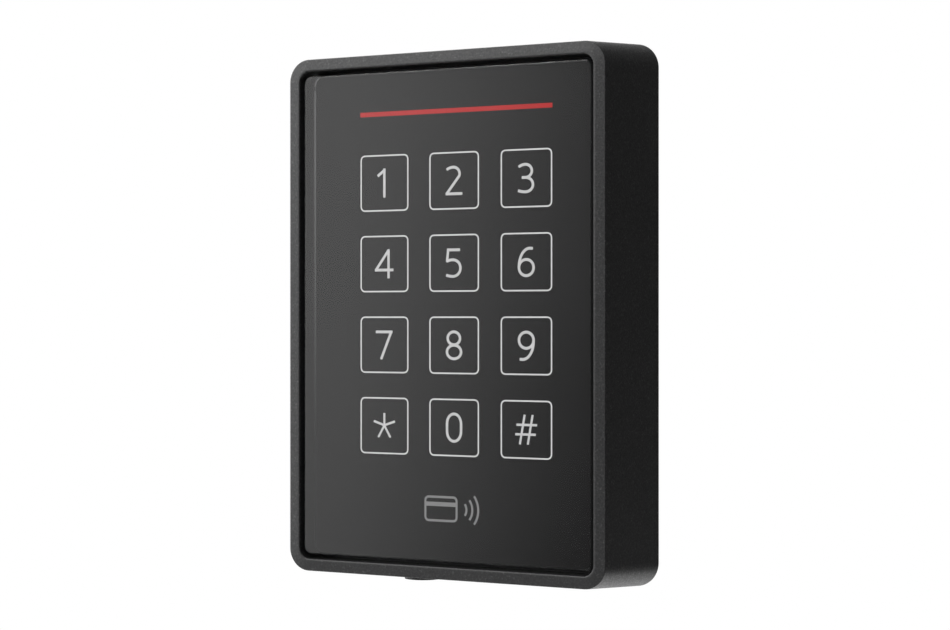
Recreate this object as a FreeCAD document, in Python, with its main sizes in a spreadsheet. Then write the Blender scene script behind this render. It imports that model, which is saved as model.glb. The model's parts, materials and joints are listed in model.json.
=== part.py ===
import FreeCAD, Part
import math
import operator
import os

import Sketcher

# Keypad access reader for a wall: a touch keypad and card reader in a shallow moulded housing.
#
# Frame, in millimetres: +X to the reader's right as seen from the front, +Z up, and the front faces -Y.
# The origin is the middle of the wall-contact plane. "Standoff" is the distance in front of the wall,
# so a standoff of 10 is the plane Y = -10.

DIMENSIONS = {
    # front housing, outside: a drafted shell, larger at the wall
    "housing_rear_width": 89.6,
    "housing_rear_height": 127.0,
    "housing_rear_radius": 5.8,
    "housing_front_width": 85.8,
    "housing_front_height": 123.8,
    "housing_front_radius": 5.4,
    "housing_back": 0.3,
    "housing_front": 24.7,
    "rear_edge_round": 0.35,
    "front_edge_round": 0.15,
    "crown_width": 2.4,
    "crown_drop": 0.2,
    "rim_edge_round": 0.3,
    # front housing, inside, from the front to the wall
    "opening_width": 79.8,
    "opening_height": 118.0,
    "opening_radius": 2.7,
    "ledge_front": 17.95,
    "ledge_back": 16.45,
    "lit_width": 68.0,
    "lit_top": 54.0,
    "lit_bottom": -41.0,
    "bay_width": 78.4,
    "bay_top": 57.0,
    "bay_bottom": -45.5,
    "bay_back": 7.0,
    "seat_width": 82.4,
    "seat_top": 58.6,
    "seat_bottom": -47.5,
    "nest_width": 84.6,
    "nest_top": 60.2,
    "nest_bottom": -61.3,
    "nest_front": 3.2,
    "lock_bay_width": 76.0,
    "lock_bay_top": -49.5,
    "lock_bay_bottom": -59.5,
    "lock_bay_front": 16.0,
    "inner_corner": 2.0,
    # hinge between the wall plate's tongues and the housing's grooves
    "hinge_height": 60.6,
    "hinge_standoff": 2.9,
    "tongue_x": 22.0,
    "tongue_width": 10.0,
    "tongue_radius": 1.15,
    "tongue_foot": 3.3,
    "groove_radius": 1.3,
    "groove_width": 10.6,
    "groove_depth": 4.25,
    "groove_bottom": 57.9,
    # wall plate
    "plate_width": 83.2,
    "plate_top": 58.8,
    "plate_bottom": -60.5,
    "plate_thick": 2.0,
    "plate_corner": 3.0,
    "wall_hole_radius": 2.1,
    "wall_hole_rise": 83.3,
    "wall_hole_spread": 60.0,
    "wall_hole_sink": 0.8,
    "hollow_width": 15.0,
    "hollow_height": 32.0,
    "hollow_inner_x": 13.0,
    "hollow_outer_x": 30.0,
    "hollow_level": 35.0,
    "hollow_depth": 0.8,
    "cable_width": 38.0,
    "cable_height": 28.0,
    "tab_width": 16.0,
    "tab_top": -55.0,
    "tab_thick": 1.5,
    "tab_front": 15.7,
    # security screw in its round boss under the housing, and the nut that it turns
    "lock_x": -12.25,
    "lock_standoff": 12.35,
    "lock_boss_radius": 4.56,
    "lock_boss_bottom": -63.45,
    "lock_head_bottom": -63.2,
    "lock_head_radius": 3.0,
    "lock_head_floor": -61.0,
    "lock_head_gap": 0.1,
    "lock_bore_radius": 3.35,
    "lock_shank_radius": 2.0,
    "lock_shank_top": -50.2,
    "lock_shank_clearance": 0.2,
    "lock_slot_radius": 2.3,
    "recess_radius": 1.55,
    "recess_depth": 1.3,
    "recess_pin_radius": 0.45,
    "retainer_radius": 3.5,
    "retainer_thick": 0.8,
    "nut_side": 7.0,
    "nut_thick": 3.0,
    "nut_gap": 0.05,
    "nut_clearance": 0.06,
    "nut_guide_gap": 0.15,
    "nut_guide_thick": 1.5,
    "nut_guide_bottom": -54.6,
    # window, legend film and the parts behind it
    "window_width": 78.9,
    "window_height": 116.3,
    "window_radius": 2.2,
    "window_back": 18.65,
    "window_front": 23.9,
    "window_chamfer": 0.5,
    "mask_margin": 0.2,
    "mask_back": 18.15,
    "glue_margin": 0.35,
    "guide_back": 16.5,
    "guide_front": 18.1,
    "guide_gap": 0.5,
    "notch_depth": 0.8,
    # legends
    "key_pitch": 19.45,
    "key_row_top": 31.78,
    "key_side": 13.27,
    "key_line": 0.34,
    "key_corner": 1.1,
    "digit_stroke": 0.66,
    "sign_stroke": 0.55,
    "bar_width": 52.6,
    "bar_height": 1.1,
    "bar_level": 48.4,
    "bar_back": 17.3,
    "bar_slot_gap": 0.2,
    "symbol_level": -45.9,
    "symbol_stroke": 0.55,
    # touch board and what it carries
    "touch_width": 77.0,
    "touch_top": 56.5,
    "touch_bottom": -44.8,
    "touch_back": 15.25,
    "pad_side": 11.0,
    "pad_hole": 3.4,
    "pad_thick": 0.04,
    "led_width": 1.6,
    "led_height": 0.8,
    "led_thick": 0.6,
    "status_led_pitch": 11.0,
    "led_gap": 0.5,
    "coil_inset": 1.3,
    "coil_band": 3.2,
    "coil_back": 14.65,
    "ferrite_inset": 0.9,
    "ferrite_band": 4.0,
    "ferrite_back": 14.35,
    # main board and its posts
    "board_width": 65.0,
    "board_top": 50.0,
    "board_bottom": -40.0,
    "board_back": 11.1,
    "board_front": 12.7,
    "post_x": 28.0,
    "post_top": 45.0,
    "post_bottom": -35.5,
    "post_radius": 2.5,
    "post_bore": 1.0,
    "post_bore_end": 14.4,
    "board_hole": 1.15,
    "board_screw_head": 2.0,
    "board_screw_head_thick": 1.4,
    "board_screw_shank": 0.95,
    "board_screw_end": 14.0,
    "connector_level": -30.0,
    "connector_width": 24.0,
    "connector_height": 4.6,
    # rear cover
    "cover_clearance": 0.2,
    "cover_back": 4.6,
    "cover_front": 6.6,
    "gasket_band": 1.6,
    "cover_screw_x": 36.0,
    "cover_screw_top": 54.0,
    "cover_screw_middle": 6.0,
    "cover_screw_bottom": -42.5,
    "cover_screw_hole": 1.3,
    "cover_screw_head": 2.4,
    "cover_screw_head_thick": 1.6,
    "cover_screw_shank": 1.1,
    "cover_screw_end": 12.5,
    "cover_boss_radius": 3.0,
    "cover_boss_front": 14.2,
    "cover_pilot_radius": 1.15,
    "cover_pilot_front": 13.5,
    "terminal_window_width": 32.0,
    "terminal_window_height": 15.0,
    "vent_x": -24.0,
    "vent_level": 32.0,
    "vent_hole": 1.2,
    "vent_radius": 3.2,
    "vent_thick": 0.25,
    # tamper switch and plunger
    "tamper_x": 20.0,
    "tamper_level": -33.0,
    "tamper_side": 6.4,
    "tamper_back": 7.1,
    "tamper_bore": 1.65,
    "tamper_bore_end": 10.7,
    "plunger_radius": 1.5,
    "plunger_back": 2.15,
    "plunger_front": 10.3,
    "plunger_hole": 2.0,
    # terminal block with spring clamps
    "pole_pitch": 5.08,
    "terminal_width": 31.2,
    "terminal_height": 14.0,
    "terminal_back": 4.5,
    "wire_side": 3.2,
    "wire_level": -3.6,
    "wire_depth": 5.2,
    "slot_width": 2.4,
    "slot_height": 4.0,
    "slot_level": 2.6,
    "slot_depth": 4.5,
    "button_width": 2.2,
    "button_height": 3.8,
    "button_back": 3.9,
    "button_length": 4.0,
    "button_groove": 0.6,
    "contact_width": 2.4,
    "contact_thick": 0.4,
    "contact_back": 5.4,
    "contact_length": 4.0,
}

# Components on the rear face of the main board: centre X, centre Z, width, height, thickness.
COMPONENTS = {
    "controller_chip": (-15.0, 24.0, 12.0, 12.0, 1.4),
    "radio_chip": (8.0, 34.0, 6.0, 6.0, 0.9),
    "wireless_module": (-18.0, 40.5, 14.0, 11.0, 2.2),
    "line_transceiver": (4.0, -20.0, 5.0, 4.0, 1.5),
    "power_regulator": (-18.0, -22.0, 6.6, 6.2, 2.3),
    "clock_crystal": (-3.0, 24.0, 4.4, 11.0, 3.2),
}

# Round components: centre X, centre Z, radius, thickness.
ROUND_COMPONENTS = {
    "storage_capacitor": (-26.0, -6.0, 3.9, 3.9),
    "sounder": (23.0, 18.0, 7.0, 3.8),
}

for part_name, measures in COMPONENTS.items():
    for word, measure in zip(("x", "level", "width", "height", "thick"), measures):
        DIMENSIONS[part_name + "_" + word] = measure
for part_name, measures in ROUND_COMPONENTS.items():
    for word, measure in zip(("x", "level", "radius", "thick"), measures):
        DIMENSIONS[part_name + "_" + word] = measure

OPERATIONS = {"+": operator.add, "-": operator.sub, "*": operator.mul, "/": operator.truediv}


class Size:
    """A length: its value, and the expression that ties it to the spreadsheet."""

    def __init__(self, value, text):
        self.value = value
        self.text = text

    def __add__(self, other):
        return combine(self, "+", other)

    def __radd__(self, other):
        return combine(other, "+", self)

    def __sub__(self, other):
        return combine(self, "-", other)

    def __rsub__(self, other):
        return combine(other, "-", self)

    def __mul__(self, other):
        return combine(self, "*", other)

    def __rmul__(self, other):
        return combine(other, "*", self)

    def __truediv__(self, other):
        return combine(self, "/", other)

    def __neg__(self):
        return combine(0, "-", self)


def as_size(number):
    if isinstance(number, Size):
        return number
    return Size(float(number), "(%.4f)" % number)


def combine(left, sign, right):
    left = as_size(left)
    right = as_size(right)
    value = OPERATIONS[sign](left.value, right.value)
    return Size(value, "(%s %s %s)" % (left.text, sign, right.text))


doc = FreeCAD.newDocument("keypad_access_reader")
sheet = doc.addObject("Spreadsheet::Sheet", "Dims")


class Cells:
    """Every driving dimension by name, as a Size."""


for row, (alias, number) in enumerate(DIMENSIONS.items(), start=1):
    sheet.set("A%d" % row, alias)
    sheet.set("B%d" % row, str(number))
    sheet.setAlias("B%d" % row, alias)
    setattr(Cells, alias, Size(number, "Dims." + alias))
doc.recompute()

d = Cells
SUB_PARTS = []
AXIS_X = FreeCAD.Vector(1, 0, 0)
AXIS_Y = FreeCAD.Vector(0, 1, 0)
OVERRUN = 1.0  # how far a cutting tool runs past the face that it opens
ROOT = 0.5  # how far an added feature is sunk into the wall that it stands on


def sub_part(thing, label):
    """Names a finished piece, which is written out under that name."""
    thing.Label = label
    SUB_PARTS.append(thing)
    return thing


def bind(thing, path, size):
    thing.setExpression(path, as_size(size).text)


def place(thing, x, standoff, z):
    bind(thing, "Placement.Base.x", x)
    bind(thing, "Placement.Base.y", 0 - as_size(standoff))
    bind(thing, "Placement.Base.z", z)


# ---- Part primitives and booleans ----------------------------------------------------------------

def block(name, x, z, back, width, height, depth):
    """A box centred on x and z, whose rear face has the standoff "back"."""
    thing = doc.addObject("Part::Box", name)
    bind(thing, "Length", width)
    bind(thing, "Width", depth)
    bind(thing, "Height", height)
    place(thing, x - as_size(width) / 2, as_size(back) + depth, z - as_size(height) / 2)
    return thing


def post(name, x, z, back, radius, length):
    """A cylinder that stands out from the wall."""
    thing = doc.addObject("Part::Cylinder", name)
    bind(thing, "Radius", radius)
    bind(thing, "Height", length)
    thing.Placement.Rotation = FreeCAD.Rotation(AXIS_X, 90)
    place(thing, x, back, z)
    return thing


def pillar(name, x, standoff, bottom, radius, length):
    """An upright cylinder."""
    thing = doc.addObject("Part::Cylinder", name)
    bind(thing, "Radius", radius)
    bind(thing, "Height", length)
    place(thing, x, standoff, bottom)
    return thing


def rod(name, left, standoff, z, radius, length):
    """A cylinder that lies along X."""
    thing = doc.addObject("Part::Cylinder", name)
    bind(thing, "Radius", radius)
    bind(thing, "Height", length)
    thing.Placement.Rotation = FreeCAD.Rotation(AXIS_Y, 90)
    place(thing, left, standoff, z)
    return thing


def fuse(name, things):
    thing = doc.addObject("Part::MultiFuse", name)
    thing.Shapes = things
    return thing


def group(name, things):
    thing = doc.addObject("Part::Compound", name)
    thing.Links = things
    return thing


def cut(name, base, tool):
    thing = doc.addObject("Part::Cut", name)
    thing.Base = base
    thing.Tool = tool
    return thing


# ---- PartDesign bodies ---------------------------------------------------------------------------

def new_body(name):
    return doc.addObject("PartDesign::Body", name)


def face_sketch(body, name, standoff=0):
    """A sketch parallel to the wall: its X is X, its Y is Z, and it faces away from the wall."""
    sketch = body.newObject("Sketcher::SketchObject", name)
    plane = [item for item in body.Origin.OriginFeatures if item.Role == "XZ_Plane"][0]
    sketch.AttachmentSupport = [(plane, "")]
    sketch.MapMode = "FlatFace"
    bind(sketch, "AttachmentOffset.Base.z", standoff)
    return sketch


def constrain(sketch, kind, geometry, point, size):
    """Dimensions a point from the sketch's origin, tied to the sheet."""
    number = sketch.addConstraint(Sketcher.Constraint(kind, -1, 1, geometry, point, as_size(size).value))
    sketch.setExpression("Constraints[%d]" % number, as_size(size).text)


def add_rectangle(sketch, x, z, width, height, radius=0):
    """A rectangle centred on x and z, with its corners rounded when a radius is given."""
    left = x - as_size(width) / 2
    right = x + as_size(width) / 2
    low = z - as_size(height) / 2
    high = z + as_size(height) / 2
    round_size = as_size(radius)
    r = round_size.value
    x0, x1, z0, z1 = left.value, right.value, low.value, high.value
    ends = [((x0 + r, z0), (x1 - r, z0)), ((x1, z0 + r), (x1, z1 - r)),
            ((x1 - r, z1), (x0 + r, z1)), ((x0, z1 - r), (x0, z0 + r))]
    centres = [(x1 - r, z0 + r), (x1 - r, z1 - r), (x0 + r, z1 - r), (x0 + r, z0 + r)]
    pieces = []
    for side in range(4):
        start, end = ends[side]
        pieces.append(Part.LineSegment(FreeCAD.Vector(*start, 0), FreeCAD.Vector(*end, 0)))
        if r > 0:
            circle = Part.Circle(FreeCAD.Vector(*centres[side], 0), FreeCAD.Vector(0, 0, 1), r)
            turn = math.radians(90 * side - 90)
            pieces.append(Part.ArcOfCircle(circle, turn, turn + math.pi / 2))
    first = sketch.addGeometry(pieces, False)[0]
    count = len(pieces)
    step = count // 4
    join = "Tangent" if r > 0 else "Coincident"
    for index in range(count):
        after = first + (index + 1) % count
        sketch.addConstraint(Sketcher.Constraint(join, first + index, 2, after, 1))
    bottom_line, right_line, top_line, left_line = [first + step * side for side in range(4)]
    sketch.addConstraint(Sketcher.Constraint("Horizontal", bottom_line))
    sketch.addConstraint(Sketcher.Constraint("Horizontal", top_line))
    sketch.addConstraint(Sketcher.Constraint("Vertical", right_line))
    sketch.addConstraint(Sketcher.Constraint("Vertical", left_line))
    if r > 0:
        for side in range(1, 4):
            sketch.addConstraint(Sketcher.Constraint("Equal", first + 1, first + 1 + step * side))
        number = sketch.addConstraint(Sketcher.Constraint("Radius", first + 1, r))
        sketch.setExpression("Constraints[%d]" % number, round_size.text)
    constrain(sketch, "DistanceX", left_line, 1, left)
    constrain(sketch, "DistanceX", right_line, 1, right)
    constrain(sketch, "DistanceY", bottom_line, 1, low)
    constrain(sketch, "DistanceY", top_line, 1, high)


def add_circle(sketch, x, z, radius):
    centre = FreeCAD.Vector(as_size(x).value, as_size(z).value, 0)
    circle = Part.Circle(centre, FreeCAD.Vector(0, 0, 1), as_size(radius).value)
    number = sketch.addGeometry(circle, False)
    constrain(sketch, "DistanceX", number, 3, x)
    constrain(sketch, "DistanceY", number, 3, z)
    size = sketch.addConstraint(Sketcher.Constraint("Radius", number, as_size(radius).value))
    sketch.setExpression("Constraints[%d]" % size, as_size(radius).text)


def pad(body, sketch, length):
    """Material from the sketch towards the front."""
    feature = body.newObject("PartDesign::Pad", sketch.Name + "_pad")
    feature.Profile = sketch
    bind(feature, "Length", length)
    doc.recompute()
    return feature


def pocket(body, sketch, depth):
    """Takes material away from the sketch towards the front, and makes sure that it did."""
    before = body.Shape.Volume
    feature = body.newObject("PartDesign::Pocket", sketch.Name + "_pocket")
    feature.Profile = sketch
    feature.Reversed = True
    bind(feature, "Length", depth)
    doc.recompute()
    if body.Shape.Volume >= before:
        raise RuntimeError(feature.Name + " cut nothing")
    return feature


def recess(body, name, back, front, width, top, bottom, radius):
    """A rectangular pocket between two standoffs."""
    sketch = face_sketch(body, name, back)
    add_rectangle(sketch, 0, (as_size(top) + bottom) / 2, width, as_size(top) - bottom, radius)
    return pocket(body, sketch, as_size(front) - back)


def edges_at(feature, standoff, half_width=None):
    """The edges that lie at one standoff, and within half_width of the middle if it is given."""
    names = []
    for number, edge in enumerate(feature.Shape.Edges, start=1):
        box = edge.BoundBox
        level = abs(box.YMin + standoff) < 1e-3 and abs(box.YMax + standoff) < 1e-3
        inside = half_width is None or max(abs(box.XMin), abs(box.XMax)) < half_width
        if level and inside:
            names.append("Edge%d" % number)
    return names


def dress(body, kind, feature, names, path, size):
    """A fillet or a chamfer on the named edges."""
    dressing = body.newObject("PartDesign::" + kind, "%s_%s" % (feature.Name, kind.lower()))
    dressing.Base = (feature, names)
    bind(dressing, path, size)
    doc.recompute()
    return dressing


def sheet_body(name, back, front, width, top, bottom, radius=0, holes=()):
    """A flat piece between two standoffs, with its outline and its holes in one sketch."""
    body = new_body(name)
    place(body, 0, back, 0)
    sketch = face_sketch(body, name + "_outline")
    add_rectangle(sketch, 0, (as_size(top) + bottom) / 2, width, as_size(top) - bottom, radius)
    for hole in holes:
        shape, *measures = hole
        shape(sketch, *measures)
    pad(body, sketch, as_size(front) - back)
    return body


# ---- Places that several pieces share ------------------------------------------------------------

SIDES = (-1, 1)
KEY_ROWS = (("1", "2", "3"), ("4", "5", "6"), ("7", "8", "9"), ("star", "0", "hash"))
KEY_PLACES = {}
for key_row, key_names in enumerate(KEY_ROWS):
    for key_column, key_name in enumerate(key_names):
        KEY_PLACES[key_name] = ((key_column - 1) * d.key_pitch, d.key_row_top - key_row * d.key_pitch)
COVER_SCREWS = [(side * d.cover_screw_x, level) for side in SIDES
                for level in (d.cover_screw_top, d.cover_screw_middle, d.cover_screw_bottom)]
BOARD_POSTS = [(side * d.post_x, level) for side in SIDES for level in (d.post_top, d.post_bottom)]
POLES = [(number - 2.5) * d.pole_pitch for number in range(6)]
STATUS_LEDS = [(number - 2) * d.status_led_pitch for number in range(5)]


# ---- Wall plate ----------------------------------------------------------------------------------

def make_wall_plate():
    """The plate screwed to the wall: two tongues that the housing hangs on, and a tab that it locks to.

    Its screw holes are countersunk in front, and its rear is hollowed between ribs."""
    wall_holes = [(add_circle, 0, side * d.wall_hole_rise / 2, d.wall_hole_radius) for side in SIDES]
    wall_holes += [(add_circle, side * d.wall_hole_spread / 2, 0, d.wall_hole_radius) for side in SIDES]
    cable = (add_rectangle, 0, 0, d.cable_width, d.cable_height, d.plate_corner)
    base = sheet_body("wall_plate_base", 0, d.plate_thick, d.plate_width, d.plate_top, d.plate_bottom,
                      d.plate_corner, wall_holes + [cable])
    face = base.Tip
    mouths = [name for name in edges_at(face, d.plate_thick.value)
              if face.Shape.getElement(name).isClosed()]
    dress(base, "Chamfer", face, mouths, "Size", d.wall_hole_sink)
    hollows = face_sketch(base, "plate_hollows")
    for side in SIDES:
        for x in (d.hollow_inner_x, d.hollow_outer_x):
            add_rectangle(hollows, side * x, d.hollow_level, d.hollow_width, d.hollow_height, d.inner_corner)
            add_rectangle(hollows, side * x, -d.hollow_level, d.hollow_width, d.hollow_height, d.inner_corner)
    pocket(base, hollows, d.hollow_depth)
    pieces = [base]
    tongue_front = d.hinge_standoff + d.tongue_radius
    for side in SIDES:
        foot = block("tongue_foot", side * d.tongue_x, d.plate_top - d.tongue_foot / 2, 0,
                     d.tongue_width, d.tongue_foot, tongue_front)
        neck_bottom = d.plate_top - d.tongue_foot / 2
        neck = block("tongue_neck", side * d.tongue_x, (d.hinge_height + neck_bottom) / 2,
                     d.hinge_standoff - d.tongue_radius, d.tongue_width, d.hinge_height - neck_bottom,
                     2 * d.tongue_radius)
        tip = rod("tongue_tip", side * d.tongue_x - d.tongue_width / 2, d.hinge_standoff, d.hinge_height,
                  d.tongue_radius, d.tongue_width)
        pieces += [foot, neck, tip]
    tab_level = d.tab_top - d.tab_thick / 2
    tab_back = d.plate_thick / 2
    pieces.append(block("lock_tab", d.lock_x, tab_level, tab_back, d.tab_width, d.tab_thick,
                        d.tab_front - tab_back))
    slot_mouth = block("tab_slot_mouth", d.lock_x, tab_level, d.lock_standoff, 2 * d.lock_slot_radius,
                       2 * d.tab_thick, d.tab_front - d.lock_standoff + OVERRUN)
    slot_end = pillar("tab_slot_end", d.lock_x, d.lock_standoff, d.tab_top - 1.5 * d.tab_thick,
                      d.lock_slot_radius, 2 * d.tab_thick)
    plate = cut("wall_plate_cut", fuse("wall_plate_solid", pieces), fuse("tab_slot", [slot_mouth, slot_end]))
    sub_part(plate, "wall_plate")


# ---- Front housing -------------------------------------------------------------------------------

def make_housing_shell():
    """The drafted shell with its rounded edges, opened from the front and from the rear.

    Its front rim is crowned: it slopes back a little from the window towards the outside."""
    body = new_body("housing_shell")
    rear = face_sketch(body, "housing_rear_outline", d.housing_back)
    add_rectangle(rear, 0, 0, d.housing_rear_width, d.housing_rear_height, d.housing_rear_radius)
    shoulder = d.housing_front - d.crown_drop
    front = face_sketch(body, "housing_front_outline", shoulder)
    add_rectangle(front, 0, 0, d.housing_front_width, d.housing_front_height, d.housing_front_radius)
    crown = face_sketch(body, "housing_crown_outline", d.housing_front)
    add_rectangle(crown, 0, 0, d.housing_front_width - 2 * d.crown_width,
                  d.housing_front_height - 2 * d.crown_width, d.housing_front_radius - d.crown_width)
    loft = body.newObject("PartDesign::AdditiveLoft", "housing_loft")
    loft.Profile = rear
    loft.Sections = [front, crown]
    loft.Ruled = True
    doc.recompute()
    rounded = dress(body, "Fillet", loft, edges_at(loft, d.housing_back.value), "Radius", d.rear_edge_round)
    dress(body, "Fillet", rounded, edges_at(rounded, shoulder.value), "Radius", d.front_edge_round)
    opening = recess(body, "window_opening", d.ledge_front, d.housing_front + OVERRUN, d.opening_width,
                     d.opening_height / 2, d.opening_height / -2, d.opening_radius)
    rim_edges = edges_at(opening, d.housing_front.value, d.opening_width.value / 2 + 0.01)
    dress(body, "Fillet", opening, rim_edges, "Radius", d.rim_edge_round)
    recess(body, "lit_opening", d.ledge_back, d.ledge_front, d.lit_width, d.lit_top, d.lit_bottom,
           d.inner_corner)
    recess(body, "board_bay", 0, d.ledge_back, d.bay_width, d.bay_top, d.bay_bottom, d.inner_corner)
    recess(body, "cover_seat", 0, d.bay_back, d.seat_width, d.seat_top, d.seat_bottom, d.inner_corner)
    recess(body, "lock_bay", 0, d.lock_bay_front, d.lock_bay_width, d.lock_bay_top, d.lock_bay_bottom,
           d.inner_corner)
    recess(body, "plate_nest", 0, d.nest_front, d.nest_width, d.nest_top, d.nest_bottom, d.inner_corner)
    return body


def make_front_housing():
    shell = make_housing_shell()
    boss_top = d.lock_bay_bottom - ROOT
    additions = [shell, pillar("lock_boss", d.lock_x, d.lock_standoff, d.lock_boss_bottom, d.lock_boss_radius,
                               boss_top - d.lock_boss_bottom)]
    wall_x = d.bay_width / 2 + ROOT
    for x, level in COVER_SCREWS:
        side = math.copysign(1, x.value)
        additions.append(post("cover_boss", x, level, d.bay_back, d.cover_boss_radius,
                              d.cover_boss_front - d.bay_back))
        additions.append(block("cover_boss_web", (x + side * wall_x) / 2, level, d.bay_back,
                               wall_x - d.cover_screw_x, 2 * d.cover_boss_radius,
                               d.cover_boss_front - d.bay_back))
    guide_top = d.lock_bay_top + ROOT
    guide_back = d.lock_standoff - d.nut_side / 2 - OVERRUN
    for side in SIDES:
        guide_x = d.lock_x + side * (d.nut_side / 2 + d.nut_guide_gap + d.nut_guide_thick / 2)
        additions.append(block("nut_guide", guide_x, (guide_top + d.nut_guide_bottom) / 2, guide_back,
                               d.nut_guide_thick, guide_top - d.nut_guide_bottom,
                               d.lock_bay_front + ROOT - guide_back))
    tools = [pillar("lock_counterbore", d.lock_x, d.lock_standoff, d.lock_boss_bottom - OVERRUN,
                    d.lock_bore_radius, d.lock_head_floor - d.lock_boss_bottom + OVERRUN),
             pillar("lock_hole", d.lock_x, d.lock_standoff, d.lock_head_floor - ROOT,
                    d.lock_shank_radius + d.lock_shank_clearance,
                    d.lock_bay_bottom - d.lock_head_floor + 2 * ROOT)]
    for side in SIDES:
        tools.append(block("hinge_slot", side * d.tongue_x, (d.groove_bottom + d.hinge_height) / 2, 0,
                           d.groove_width, d.hinge_height - d.groove_bottom, d.groove_depth))
        tools.append(rod("hinge_groove", side * d.tongue_x - d.groove_width / 2, d.hinge_standoff,
                         d.hinge_height, d.groove_radius, d.groove_width))
    for x, level in COVER_SCREWS:
        tools.append(post("cover_pilot", x, level, d.bay_back - OVERRUN, d.cover_pilot_radius,
                          d.cover_pilot_front - d.bay_back + OVERRUN))
    sub_part(cut("housing_cut", fuse("housing_solid", additions), group("housing_tools", tools)),
             "front_housing")


# ---- Window, legends and light guide -------------------------------------------------------------

def make_window():
    """The thick tinted front, flush-set a little below the rim, with a fine chamfer all round."""
    body = sheet_body("window_body", d.window_back, d.window_front, d.window_width, d.window_height / 2,
                      d.window_height / -2, d.window_radius)
    face = body.Tip
    dress(body, "Chamfer", face, edges_at(face, (d.window_front - d.window_back).value), "Size",
          d.window_chamfer)
    sub_part(body, "front_window")


def bar(start, end, stroke, depth):
    """A straight stroke with square ends."""
    run = FreeCAD.Vector(end[0] - start[0], 0, end[1] - start[1])
    across = FreeCAD.Vector(-run.z, 0, run.x).normalize() * stroke / 2
    first = FreeCAD.Vector(start[0], 0, start[1])
    corners = [first + across, first - across, first + run - across, first + run + across]
    face = Part.Face(Part.makePolygon(corners + corners[:1]))
    return face.extrude(FreeCAD.Vector(0, -depth, 0))


def bow(centre, radii, start, end, stroke, depth):
    """A curved stroke with square ends, along an ellipse from one angle to the other in degrees."""
    steps = max(4, round(abs(end - start) / 15))
    edges = []
    for side in SIDES:
        points = []
        for index in range(steps + 1):
            angle = math.radians(start + (end - start) * index / steps)
            point = FreeCAD.Vector(radii[0] * math.cos(angle), 0, radii[1] * math.sin(angle))
            outward = FreeCAD.Vector(math.cos(angle) / radii[0], 0, math.sin(angle) / radii[1]).normalize()
            points.append(FreeCAD.Vector(centre[0], 0, centre[1]) + point + outward * side * stroke / 2)
        curve = Part.BSplineCurve()
        curve.interpolate(points)
        edges.append(curve.toShape())
    inner, outer = edges
    caps = [Part.makeLine(inner.Vertexes[end_].Point, outer.Vertexes[end_].Point) for end_ in (0, -1)]
    face = Part.Face(Part.Wire([inner, caps[1], outer, caps[0]]))
    return face.extrude(FreeCAD.Vector(0, -depth, 0))


# Each glyph is a list of strokes about the key's centre, in millimetres at the stated digit height.
# A bar is (start, end); a bow is (centre, radii, start angle, end angle).
GLYPHS = {
    "1": [((0.0, 3.5), (0.0, -3.48)), ((0.22, 3.2), (-1.9, 1.72))],
    "2": [((-0.2, 1.1), (2.6, 2.08), 134, 90), ((-0.2, 1.62), (1.72, 1.56), 90, -24),
          ((1.46, 1.12), (-1.95, -2.98)), ((-2.3, -3.1), (2.27, -3.1))],
    "3": [((-0.2, 1.1), (2.6, 2.1), 134, 90), ((-0.2, 1.68), (1.66, 1.52), 90, -90),
          ((-1.2, 0.16), (-0.2, 0.16)), ((-0.2, -1.51), (1.96, 1.67), 90, -90),
          ((-0.2, -1.58), (3.2, 1.6), -90, -128)],
    "4": [((1.19, 3.5), (1.19, -3.48)), ((1.1, 3.15), (-2.3, -1.35)), ((-2.7, -1.47), (2.57, -1.47))],
    "5": [((-1.95, 3.1), (1.65, 3.1)), ((-1.57, 3.4), (-1.92, 0.28)), ((-0.3, -0.6), (2.4, 1.35), 137, 90),
          ((-0.3, -1.21), (2.06, 1.96), 90, -90), ((-0.3, -1.57), (3.0, 1.6), -90, -128)],
    "6": [((0.0, -1.3), (1.93, 1.88), 0, 180), ((0.0, -1.3), (1.93, 1.88), 180, 360),
          ((0.95, -1.1), (2.88, 4.28), 180, 90), ((0.85, 3.18), (1.74, 3.12))],
    "7": [((-2.42, 3.1), (2.3, 3.1)), ((2.02, 3.3), (-0.92, -3.48))],
    "8": [((-0.05, 1.65), (1.68, 1.53), 0, 180), ((-0.05, 1.65), (1.68, 1.53), 180, 360),
          ((0.0, -1.58), (1.93, 1.6), 0, 180), ((0.0, -1.58), (1.93, 1.6), 180, 360)],
    "9": [((0.0, 1.3), (1.93, 1.88), 0, 180), ((0.0, 1.3), (1.93, 1.88), 180, 360),
          ((-0.95, 1.1), (2.88, 4.28), 0, -90), ((-0.85, -3.18), (-1.74, -3.12))],
    "0": [((0.0, 0.9), (1.92, 2.33), 0, 180), ((-1.92, 0.9), (-1.92, -0.9)), ((1.92, 0.9), (1.92, -0.9)),
          ((0.0, -0.9), (1.92, 2.33), 180, 360)],
    "star": [((0.0, 0.0), (0.0, 3.05)), ((0.3, 0.0), (-3.0, 1.08)), ((-0.3, 0.0), (3.0, 1.08)),
             ((0.12, 0.25), (-1.72, -2.8)), ((-0.12, 0.25), (1.72, -2.8))],
    "hash": [((-0.42, 3.45), (-1.7, -3.45)), ((1.68, 3.45), (0.4, -3.45)), ((-2.6, 1.1), (2.85, 1.1)),
             ((-2.9, -1.12), (2.5, -1.12))],
}


def draw(strokes, stroke, depth):
    """The solid of a list of strokes, joined where they meet."""
    solids = []
    for item in strokes:
        maker = bar if len(item) == 2 else bow
        solids.append(maker(*item, stroke, depth))
    joined = solids[0].multiFuse(solids[1:]).removeSplitter()
    if len(joined.Solids) != 1:
        raise RuntimeError("the strokes of a glyph don't join into one solid: %s" % strokes)
    return joined


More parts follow.
